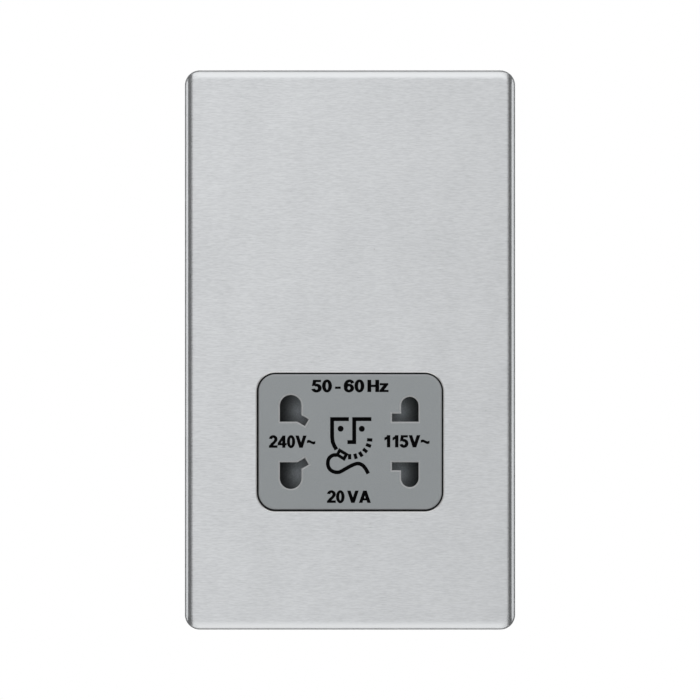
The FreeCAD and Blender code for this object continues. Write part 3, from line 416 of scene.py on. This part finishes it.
# every finish: its colours where the pattern is low and high, the roughness there, and the relief's
# depth in metres
finishes = {
    "brushed_plate": {
        "pattern": "streaks",
        "layers": ((680.0, (1.0, 6.0, 6.0), 0.56), (160.0, (1.0, 25.0, 25.0), 0.24),
                   (100.0, (1.0, 0.5, 0.5), 0.2)),
        "low": (0.533, 0.546, 0.559), "high": (0.741, 0.756, 0.771), "rough": (0.27, 0.35),
        "depth": 0.000003, "sockets": {"Metallic": 1.0},
        # painted light: the plate is painted paler towards one corner
        "sweep": (-1.16, 0.0, 0.41),
        "specks": {"scale": 42.0, "size": 0.011, "colour": (0.50, 0.50, 0.50)},
        # painted highlight on the bends above and below
        "edge": {"axis": "Z", "stops": (0.04, 0.45), "notAcross": (0.05, 0.35),
                 "colour": (0.73, 0.745, 0.755)},
        "polish": {"axis": "X", "stops": (0.08, 0.35), "rough": 0.20},
        # a cut edge, its colour set darker as painted shade beside the gap
        "cut": {"centre": (0.0, -0.0049, -0.024), "reach": 0.032, "band": (0.55, 0.62, 0.80, 0.87),
                "colour": (0.55, 0.55, 0.55), "rough": 0.5},
        # painted highlight on the outer part of that edge, above and below
        "glint": {"centre": (0.0, 0.0, -0.02408), "core": (0.01945, 1.0, 0.0132),
                  "steps": (0.00496, 0.0050), "band": (0.50, 0.60, 0.85, 0.95),
                  "colour": (1.0, 1.0, 1.0)},
    },
    "frame_plastic": {
        "pattern": "grain", "scale": 3000.0, "low": (0.010, 0.010, 0.011),
        "high": (0.020, 0.020, 0.021), "rough": (0.45, 0.6), "depth": 0.00002,
        "sockets": {"Specular IOR Level": 0.2},
    },
    "gasket_rubber": {
        "pattern": "cells", "scale": 2200.0, "low": (0.02, 0.02, 0.021),
        "high": (0.06, 0.06, 0.062), "rough": (0.75, 0.95), "depth": 0.0001,
        "sockets": {"Specular IOR Level": 0.3},
    },
    "insert_plastic": {
        "pattern": "grain", "scale": 3800.0, "low": (0.258, 0.276, 0.286),
        "high": (0.286, 0.305, 0.315), "rough": (0.44, 0.54), "depth": 0.000012, "sockets": {},
        # painted highlight on the chamfers of the apertures and the face
        "edge": {"axis": "Y", "band": (0.45, 0.55, 0.88, 0.96), "colour": (0.40, 0.41, 0.415)},
        # painted shade on the outer chamfer towards the gap round the insert
        "rim": {"centre": (0.00005, 0.0, -0.02395), "core": (0.01945, 1.0, 0.0132),
                "steps": ((0.00398, 0.00408, (0.290, 0.305, 0.315)),
                          (0.00439, 0.00445, (0.020, 0.021, 0.022)))},
    },
    "shutter_plastic": {
        "pattern": "grain", "scale": 2600.0, "low": (0.70, 0.70, 0.70), "high": (1.0, 1.0, 1.0),
        "rough": (0.36, 0.46), "depth": 0.00001, "sockets": {"Specular IOR Level": 0.4},
        # painted shade, darker towards the deep outer ends of the ramps
        "recessShade": {"axis": "X", "reach": (0.010, 0.0185),
                   "stops": ((0.10, (0.80, 0.85, 0.91)), (0.35, (0.70, 0.75, 0.80)),
                             (0.65, (0.42, 0.45, 0.475)), (0.83, (0.28, 0.30, 0.315)),
                             (1.0, (0.18, 0.19, 0.20)))},
        # painted highlight, one light spot behind each aperture
        "spots": {"centre": (0.0, 0.0, -0.024), "offset": (0.0141, 0.0, 0.0082),
                  "reach": (0.0, 0.0055),
                  "stops": ((0.0, (1.0, 1.0, 1.0)), (0.2, (0.84, 0.84, 0.84)),
                            (0.45, (0.60, 0.60, 0.60)), (0.75, (0.47, 0.47, 0.47)),
                            (1.0, (0.40, 0.40, 0.40)))},
    },
    "spring_steel": {
        "pattern": "grain", "scale": 1500.0, "low": (0.50, 0.50, 0.51), "high": (0.62, 0.62, 0.63),
        "rough": (0.2, 0.32), "depth": 0.000004, "sockets": {"Metallic": 1.0},
    },
    "contact_brass": {
        "pattern": "streaks",
        "layers": ((160.0, (1.0, 30.0, 12.0), 0.5), (48.0, (1.0, 30.0, 12.0), 0.5)),
        "low": (0.68, 0.49, 0.22), "high": (0.84, 0.64, 0.33), "rough": (0.2, 0.36),
        "depth": 0.000004, "sockets": {"Metallic": 1.0},
    },
    "carrier_plastic": {
        "pattern": "grain", "scale": 2500.0, "low": (0.66, 0.65, 0.61), "high": (0.74, 0.73, 0.69),
        "rough": (0.4, 0.5), "depth": 0.00002, "sockets": {},
    },
    "housing_plastic": {
        "pattern": "grain", "scale": 2200.0, "low": (0.73, 0.73, 0.715),
        "high": (0.80, 0.80, 0.785), "rough": (0.42, 0.55), "depth": 0.00004, "sockets": {},
    },
    "screw_steel": {
        "pattern": "grain", "scale": 900.0, "low": (0.58, 0.60, 0.62), "high": (0.76, 0.76, 0.74),
        "rough": (0.16, 0.3), "depth": 0.000006, "sockets": {"Metallic": 1.0},
    },
    "lamination_steel": {
        "pattern": "turns", "axis": "Y", "period": 0.0005, "unrest": 0.4,
        "low": (0.07, 0.066, 0.066), "high": (0.26, 0.25, 0.25), "rough": (0.5, 0.34),
        "depth": 0.00008, "sockets": {"Metallic": 0.8},
    },
    "bobbin_plastic": {
        "pattern": "grain", "scale": 2600.0, "low": (0.03, 0.03, 0.035),
        "high": (0.05, 0.05, 0.056), "rough": (0.34, 0.46), "depth": 0.00002, "sockets": {},
    },
    "winding_copper": {
        "pattern": "turns", "axis": "Z", "period": 0.00034, "unrest": 0.25,
        "low": (0.20, 0.06, 0.02), "high": (0.62, 0.26, 0.10), "rough": (0.34, 0.2),
        "depth": 0.00015, "sockets": {"Metallic": 0.9},
    },
    "winding_tape": {
        "pattern": "grain", "scale": 260.0, "stretch": (1.0, 1.0, 3.0), "low": (0.76, 0.54, 0.05),
        "high": (0.88, 0.68, 0.14), "rough": (0.2, 0.34), "depth": 0.00004, "sockets": {},
    },
    "cutout_plastic": {
        "pattern": "grain", "scale": 800.0, "low": (0.06, 0.06, 0.06), "high": (0.11, 0.11, 0.11),
        "rough": (0.12, 0.22), "depth": 0.000008, "sockets": {"Coat Weight": 0.3},
    },
    "terminal_brass": {
        "pattern": "streaks",
        "layers": ((140.0, (18.0, 18.0, 1.0), 0.5), (42.0, (18.0, 18.0, 1.0), 0.5)),
        "low": (0.66, 0.48, 0.20), "high": (0.82, 0.64, 0.32), "rough": (0.22, 0.38),
        "depth": 0.000006, "sockets": {"Metallic": 1.0},
    },
    "print_black": {
        "pattern": "grain", "scale": 3000.0, "low": (0.001, 0.001, 0.0012),
        "high": (0.002, 0.002, 0.0022), "rough": (0.55, 0.7), "depth": 0.000004,
        "sockets": {"Specular IOR Level": 0.02},
    },
}


def paintedLightSweep(tree, colour, sweep):
    # painted light: the sheet is painted a little paler towards one corner: one plus the place's
    # product with the sweep
    along = vectorStep(tree, "DOT_PRODUCT", ownPoint(tree), sweep)
    share = calculation(tree, "ADD", along.outputs["Value"], 1.0)
    return blendColour(tree, 1.0, colour, share, "MULTIPLY")


def speckPaint(tree, colour, specks):
    # small marks where the pattern's scattered points lie
    share = spread(tree, cells(tree, specks), specks["size"] / 2, specks["size"], 1.0, 0.0)
    return blendColour(tree, share, colour, specks["colour"])


def paintedRecessShade(tree, colour, recessShade):
    # painted shade: the ramps are painted darker towards their deep outer ends and lighter towards
    # the middle of the slider
    away = spread(tree, alongAxis(tree, ownPoint(tree), recessShade["axis"]), *recessShade["reach"])
    return blendColour(tree, 1.0, ramp(tree, away, recessShade["stops"]), colour, "MULTIPLY")


def paintedSpotHighlight(tree, colour, spots):
    # painted highlight: the ramps are painted lightest in one spot behind each aperture
    away = spread(tree, fromSpots(tree, spots["centre"], spots["offset"]), *spots["reach"])
    return blendColour(tree, 1.0, ramp(tree, away, spots["stops"]), colour, "MULTIPLY")


def paintedEdgeHighlight(tree, colour, edge):
    # painted highlight: bends and chamfers are painted lighter, told by how far they lean
    lean = leaning(tree, edge["axis"])
    share = band(tree, lean, edge["band"]) if "band" in edge else spread(tree, lean, *edge["stops"])
    if "notAcross" in edge:
        across = spread(tree, leaning(tree, "X"), *edge["notAcross"], 1.0, 0.0)
        share = calculation(tree, "MULTIPLY", share, across)
    return blendColour(tree, share, colour, edge["colour"])


def paintedGapShade(tree, colour, rim):
    # painted shade: the outer chamfer is painted back to the plain colour and then dark towards the
    # gap round the piece
    away = outwardOf(tree, rim["centre"], rim["core"])
    for start, end, tint in rim["steps"]:
        colour = blendColour(tree, spread(tree, away, start, end), colour, tint)
    return colour


# specks are real marks; the sweep, recess shade, spots, edge and rim paints are painted light and
# shade
paints = {"sweep": paintedLightSweep, "specks": speckPaint, "recessShade": paintedRecessShade, "spots": paintedSpotHighlight,
          "edge": paintedEdgeHighlight, "rim": paintedGapShade}


def cutEdgeShadeAndGlint(tree, shader, colour, rough, cut, glint):
    # the rim of the opening is a cut edge, duller than the rolled sheet and not a mirror; its colour
    # is set darker as painted shade beside the gap round the insert
    near = nearPlace(tree, cut["centre"], cut["reach"])
    share = calculation(tree, "MULTIPLY", band(tree, leaning(tree, "Y"), cut["band"]), near)
    colour = blendColour(tree, share, colour, cut["colour"])
    # painted highlight: above and below, the outer part of that edge is painted white
    outer = spread(tree, outwardOf(tree, glint["centre"], glint["core"]), *glint["steps"])
    upright = calculation(tree, "MULTIPLY", band(tree, leaning(tree, "Z"), glint["band"]), outer)
    upright = calculation(tree, "MULTIPLY", upright, near)
    colour = blendColour(tree, upright, colour, glint["colour"])
    rough = blendNumber(tree, share, rough, cut["rough"])
    tree.links.new(spread(tree, share, 0.0, 1.0, 1.0, 0.0), shader.inputs["Metallic"])
    return colour, rough


def makeFinish(name):
    # colour, roughness and relief all follow the one pattern, and the paints go over the colour
    values = finishes[name]
    material, tree, shader = newFinish(name, values["sockets"])
    pattern = patterns[values["pattern"]](tree, values)
    low, high = shading["noiseReach"]
    colour = ramp(tree, pattern, [(low, values["low"]), (high, values["high"])])
    for key, paint in paints.items():
        if key in values:
            colour = paint(tree, colour, values[key])
    rough = spread(tree, pattern, low, high, *values["rough"])
    if "polish" in values:
        # bends across the brushing are smoother than the flat
        polish = values["polish"]
        share = spread(tree, leaning(tree, polish["axis"]), *polish["stops"])
        rough = blendNumber(tree, share, rough, polish["rough"])
    if "cut" in values:
        colour, rough = cutEdgeShadeAndGlint(tree, shader, colour, rough, values["cut"], values["glint"])
    tree.links.new(colour, shader.inputs["Base Color"])
    tree.links.new(rough, shader.inputs["Roughness"])
    relief(tree, shader, pattern, values["depth"])
    return material


materials = {name: makeFinish(name) for name in finishes}
for node, piece in nodes.items():
    piece.data.materials.clear()
    piece.data.materials.append(materials[slotOfNode[node]])
print("finishes on", len(nodes), "nodes")

# the print, all lengths in mm
face = {
    "level": -5.3,            # y of the insert's face
    "proud": 0.008,
    "layer": 0.003,           # each stroke of a figure lies this much over the last
    "sunk": 0.02,
    "letterHeight": 3.2,
    "letterSpace": 0.05,
    "letterWeight": 0.12,     # added to the width of every stroke of a figure
    "lineStroke": 1.03,
    "cordStroke": 0.97,
    "headStroke": 0.82,
    "dashSize": (1.40, 0.87),
    "eyeRadius": 0.78,
    "eyeSteps": 24,
    "curveSteps": 8,          # points of each span of a smooth path
    "waveSteps": 22,
    "waveShare": 0.92,        # how much of a whole turn the wave shows
}


def arc(centre, radii, start, end, steps):
    # points of an ellipse round the centre: x is its first radius times the cosine of the angle,
    # and z its second radius times the sine
    angle = np.radians(np.linspace(start, end, steps))
    x, z = centre[0] + radii[0] * np.cos(angle), centre[1] + radii[1] * np.sin(angle)
    return np.stack([x, z], axis=-1)


def between(left, right, layer):
    # a flat slab between two rails with as many points each: its front is the face's level less the
    # ink that stands proud, and its back the level plus what is sunk
    front = np.full(len(left), face["level"] - face["proud"] - layer * face["layer"])
    back = np.full(len(left), face["level"] + face["sunk"])
    sides = ((left, back), (left, front), (right, front), (right, back))
    rings = [np.stack([side[:, 0], level, side[:, 1]], axis=-1) for side, level in sides]
    return np.stack(rings, axis=1) * mm


def inkStroke(points, width, layer=0):
    # a flat rectangle carried along a path of the face: at each point the two sides are set off by
    # half the width along the mitre, which is the normals' mean direction over the cosine of half
    # the turn
    run = np.diff(points, axis=0)
    run = run / np.linalg.norm(run, axis=1)[:, None]
    normal = np.stack([-run[:, 1], run[:, 0]], axis=-1)
    first = np.vstack([normal[:1], normal])
    last = np.vstack([normal, normal[-1:]])
    mitre = (first + last) / (1.0 + np.sum(first * last, axis=1))[:, None]
    return between(points + mitre * width / 2, points - mitre * width / 2, layer)


def inkDisc(centre, radius):
    # a short round pad: one ring of points at the radius behind the face, and one before it
    angle = np.linspace(0, 2 * np.pi, face["eyeSteps"], endpoint=False)
    x, z = centre[0] + radius * np.cos(angle), centre[1] + radius * np.sin(angle)
    levels = (face["level"] + face["sunk"], face["level"] - face["proud"])
    return np.stack([np.stack([x, np.full_like(x, level), z], axis=-1) for level in levels]) * mm


def joinedMesh(name, grids):
    # every grid is a run of closed rings: four-sided faces join the rings, and both ends are capped
    vertices, faces, offset = [], [], 0
    for points in grids:
        rows, columns = points.shape[:2]
        index = np.arange(rows * columns).reshape(rows, columns) + offset
        wide = np.hstack([index, index[:, :1]])
        walls = np.stack([wide[:-1, :-1], wide[:-1, 1:], wide[1:, 1:], wide[1:, :-1]], axis=-1)
        faces += walls.reshape(-1, 4).tolist()
        faces += [index[0, ::-1].tolist(), index[-1].tolist()]
        vertices.append(points.reshape(-1, 3))
        offset += rows * columns
    mesh = bpy.data.meshes.new(name)
    mesh.from_pydata(np.vstack(vertices).tolist(), [], faces)
    shell = bmesh.new()
    shell.from_mesh(mesh)
    bmesh.ops.recalc_face_normals(shell, faces=shell.faces)
    shell.to_mesh(mesh)
    shell.free()
    mesh.update()
    return link(bpy.data.objects.new(name, mesh))


def bar(x0, x1, z0, z1):
    # an upright or level stroke, as its left and its right rail
    return np.array([(x0, z0), (x0, z1)]), np.array([(x1, z0), (x1, z1)])


def bow(centre, outer, inner, start, end, steps):
    # a bent stroke between two ellipses round one centre, from one angle to the other
    return arc(centre, outer, start, end, steps), arc(centre, inner, start, end, steps)


def rails(left, right):
    # a stroke given by the points of its two rails
    return np.array(left, dtype=float), np.array(right, dtype=float)


def wave(length, middle, swing, weight):
    # a sine over a part of one turn, thickened up and down by half the weight
    share = np.linspace(0.0, 1.0, face["waveSteps"])
    turn = 0.5 + (share - 0.5) * face["waveShare"]
    x, z = length * share, middle + swing * np.sin(2 * np.pi * turn)
    return np.stack([x, z + weight / 2], axis=-1), np.stack([x, z - weight / 2], axis=-1)


def joinRails(*runs):
    # strokes that follow each other, as one stroke
    return tuple(np.vstack([run[side] for run in runs]) for side in (0, 1))


def glyphs():
    # each figure: its width, then its strokes as pairs of rails, with the height of a figure as 1
    hook = joinRails(bow((0.34, 0.69), (0.34, 0.325), (0.11, 0.145), 172, -18, 16),
                     rails([(0.60, 0.50), (0.46, 0.34), (0.32, 0.19)],
                           [(0.375, 0.535), (0.18, 0.37), (0.0, 0.14)]))
    return {
        "0": (0.66, [bow((0.33, 0.5), (0.33, 0.515), (0.105, 0.33), 90, 450, 33)]),
        "1": (0.60, [bar(0.29, 0.525, 0.0, 1.0),
                     rails([(0.33, 1.0), (0.22, 0.86), (0.07, 0.78)],
                           [(0.30, 0.72), (0.20, 0.63), (0.07, 0.585)])]),
        "2": (0.68, [hook, bar(0.0, 0.68, 0.0, 0.20)]),
        "4": (0.72, [bar(0.385, 0.61, 0.0, 1.0), bar(0.0, 0.72, 0.20, 0.385),
                     rails([(0.41, 1.0), (0.0, 0.385)], [(0.41, 0.69), (0.21, 0.35)])]),
        "5": (0.68, [bar(0.12, 0.63, 0.81, 1.0),
                     rails([(0.11, 1.0), (0.03, 0.48)], [(0.31, 0.90), (0.24, 0.53)]),
                     bow((0.33, 0.325), (0.35, 0.345), (0.115, 0.155), 128, -166, 26)]),
        "6": (0.69, [bow((0.35, 0.325), (0.34, 0.34), (0.115, 0.16), 0, 360, 29),
                     bow((0.385, 0.50), (0.385, 0.515), (0.155, 0.325), 32, 205, 18)]),
        "V": (0.90, [rails([(0.0, 1.0), (0.325, 0.0)], [(0.25, 1.0), (0.575, 0.0)]),
                     rails([(0.65, 1.0), (0.325, 0.0)], [(0.90, 1.0), (0.575, 0.0)])]),
        "A": (0.94, [rails([(0.345, 1.0), (0.0, 0.0)], [(0.595, 1.0), (0.25, 0.0)]),
                     rails([(0.345, 1.0), (0.69, 0.0)], [(0.595, 1.0), (0.94, 0.0)]),
                     bar(0.22, 0.72, 0.20, 0.385)]),
        "H": (0.78, [bar(0.0, 0.235, 0.0, 1.0), bar(0.545, 0.78, 0.0, 1.0),
                     bar(0.15, 0.63, 0.41, 0.60)]),
        "z": (0.60, [bar(0.02, 0.58, 0.55, 0.73), bar(0.0, 0.60, 0.0, 0.18),
                     rails([(0.31, 0.60), (0.0, 0.14)], [(0.58, 0.60), (0.27, 0.14)])]),
        "-": (0.36, [bar(0.0, 0.36, 0.26, 0.45)]),
        "~": (0.70, [wave(0.70, 0.46, 0.07, 0.19)]),
        " ": (0.14, []),
    }


def writing(text, start, end, base):
    # sets the figures side by side and stretches the row so that its ink runs from start to end
    shapes = glyphs()
    space = face["letterSpace"]
    scale = (end - start) / (sum(shapes[letter][0] + space for letter in text) - space)
    stretch = np.array([scale, face["letterHeight"]])
    pen, strokes = start, []
    for letter in text:
        width, parts = shapes[letter]
        for layer, pair in enumerate(parts):
            left, right = (np.array([pen, base]) + rail * stretch for rail in pair)
            apart = left - right
            more = apart / np.linalg.norm(apart, axis=1)[:, None] * face["letterWeight"] / 2
            strokes.append(between(left + more, right - more, layer))
        pen += (width + space) * scale
    return strokes


def smoothPath(points):
    # a cubic through all the points: each span runs between two of them, and leaves each with half
    # the step from its neighbour before to its neighbour after
    ends = np.vstack([2 * points[:1] - points[1:2], points, 2 * points[-1:] - points[-2:-1]])
    spans = (ends[:-3], ends[1:-2], ends[2:-1], ends[3:])
    a, b, c, d = (corner[:, None, :] for corner in spans)
    t = np.linspace(0.0, 1.0, face["curveSteps"], endpoint=False)[None, :, None]
    square, cube = 2 * a - 5 * b + 4 * c - d, 3 * b - a - 3 * c + d
    curve = (2 * b + (c - a) * t + square * t ** 2 + cube * t ** 3) / 2
    return np.vstack([curve.reshape(-1, 2), points[-1:]])


sign = {                      # places on the face in mm, and degrees
    "brow": [(-0.29, -18.04), (-4.67, -18.04)],
    "cheek": [(-4.67, -22.71), (-4.41, -24.27), (-3.55, -26.00)],
    "nose": [(5.59, -18.04), (1.10, -18.04), (1.10, -24.04), (-0.68, -24.04)],
    "eyes": [(-2.45, -20.54), (3.08, -20.57)],
    "bristles": [(5.14, -23.46), (4.83, -24.90), (3.94, -26.23), (2.82, -27.20), (1.44, -27.74),
                 (-0.10, -27.85)],
    "bristleTurns": (-3, -22, -40, -57, -74, -88),
    "head": [(-1.83, -26.70), (-0.94, -27.25), (-1.57, -28.42), (-3.31, -27.35), (-2.69, -26.18),
             (-1.83, -26.70)],
    "cord": [(-3.39, -27.38), (-4.54, -27.51), (-5.51, -28.34), (-5.79, -29.73), (-5.35, -31.01),
             (-4.33, -31.74), (-3.13, -31.92), (-2.09, -31.55), (0.26, -30.22), (1.98, -29.65),
             (3.18, -30.02), (3.99, -30.88), (4.78, -32.26)],
}

texts = {                     # the words, and in mm where their ink starts, ends and stands
    "figures_240": ("240V~", -21.1, -9.05, -25.52),
    "figures_115": ("115V~", 8.75, 20.75, -25.42),
    "figures_top": ("50 - 60 Hz", -10.0, 10.0, -10.98),
    "figures_bottom": ("20 VA", -5.95, 5.4, -39.9),
}


def dash(centre, angle):
    # a short stroke that points away from the middle of the chin's arc
    length, width = face["dashSize"]
    reach = np.array([math.cos(math.radians(angle)), math.sin(math.radians(angle))]) * length / 2
    return inkStroke(np.array([centre - reach, centre + reach]), width)


def shaverSign():
    # the usual sign of a shaver outlet: brows, nose, eyes, a bristled chin, a shaver and its cord
    line = face["lineStroke"]
    places = {name: np.array(points) for name, points in sign.items()}
    strokes = [inkStroke(np.vstack([places["brow"], smoothPath(places["cheek"])]), line),
               inkStroke(places["nose"], line)]
    strokes += [inkDisc(eye, face["eyeRadius"]) for eye in places["eyes"]]
    bristles = zip(places["bristles"], places["bristleTurns"])
    strokes += [dash(centre, angle) for centre, angle in bristles]
    strokes.append(inkStroke(places["head"], face["headStroke"], 1))
    strokes.append(inkStroke(smoothPath(places["cord"]), face["cordStroke"], 2))
    return strokes


def finishPrint(name, strokes):
    # one piece of ink that lies on the insert
    piece = joinedMesh(name, strokes)
    piece.data.materials.append(materials["print_black"])
    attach(piece, "unit")


def printFace():
    # the figures first and then the sign
    for name, words in texts.items():
        finishPrint(name, writing(*words))
    finishPrint("shaver_sign", shaverSign())


printFace()
print("insert printed")

# the shutter's springs, all lengths in mm
springs = {
    "wire": 0.4,
    "mean": 1.1,              # radius of the coil to the middle of the wire
    "turns": 11,
    "turnSteps": 20,
    "wireSteps": 8,
    "close": 0.7,             # how much closer the end turns lie than the middle ones
    "axisY": 3.05,
    "axisZ": -24.0,
    "leftRun": (-29.5, -13.025),
    "rightRun": (29.5, 13.2),
}


def coilSpring(name, start, end):
    # a ring of the wire's section carried along a helix, whose way along the axis is the share of
    # its turns less a sine, so that the turns are close at both ends and open in the middle
    steps = springs["turns"] * springs["turnSteps"]
    share = np.linspace(0.0, 1.0, steps)
    angle = share * springs["turns"] * 2 * np.pi
    easy = share - springs["close"] * np.sin(2 * np.pi * share) / (2 * np.pi)
    inset = math.copysign(springs["wire"] / 2, end - start)
    along = (start + inset) + (end - start - 2 * inset) * easy
    middle = np.stack([along, springs["axisY"] + springs["mean"] * np.cos(angle),
                       springs["axisZ"] + springs["mean"] * np.sin(angle)], axis=-1)
    run = np.gradient(middle, axis=0)
    run /= np.linalg.norm(run, axis=1)[:, None]
    outwards = np.stack([np.zeros(steps), np.cos(angle), np.sin(angle)], axis=-1)
    across = np.cross(run, outwards)
    turn = np.linspace(0, 2 * np.pi, springs["wireSteps"], endpoint=False)[None, :, None]
    ring = outwards[:, None, :] * np.cos(turn) + across[:, None, :] * np.sin(turn)
    return joinedMesh(name, [(middle[:, None, :] + ring * springs["wire"] / 2) * mm])


def windSprings():
    # each spring is wound from its first end, at the unit, to its second, at the shutter, in place of
    # its node, which is hidden
    for name, node, run in (("spring_wire_left", "shutter_spring_left", springs["leftRun"]),
                            ("spring_wire_right", "shutter_spring_right", springs["rightRun"])):
        piece = coilSpring(name, *run)
        piece.data.materials.append(materials["spring_steel"])
        piece.data.shade_smooth()
        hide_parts(node)
        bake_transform(piece)


windSprings()
print("springs wound")

placeCamera()
buildStudio()
print("studio set")
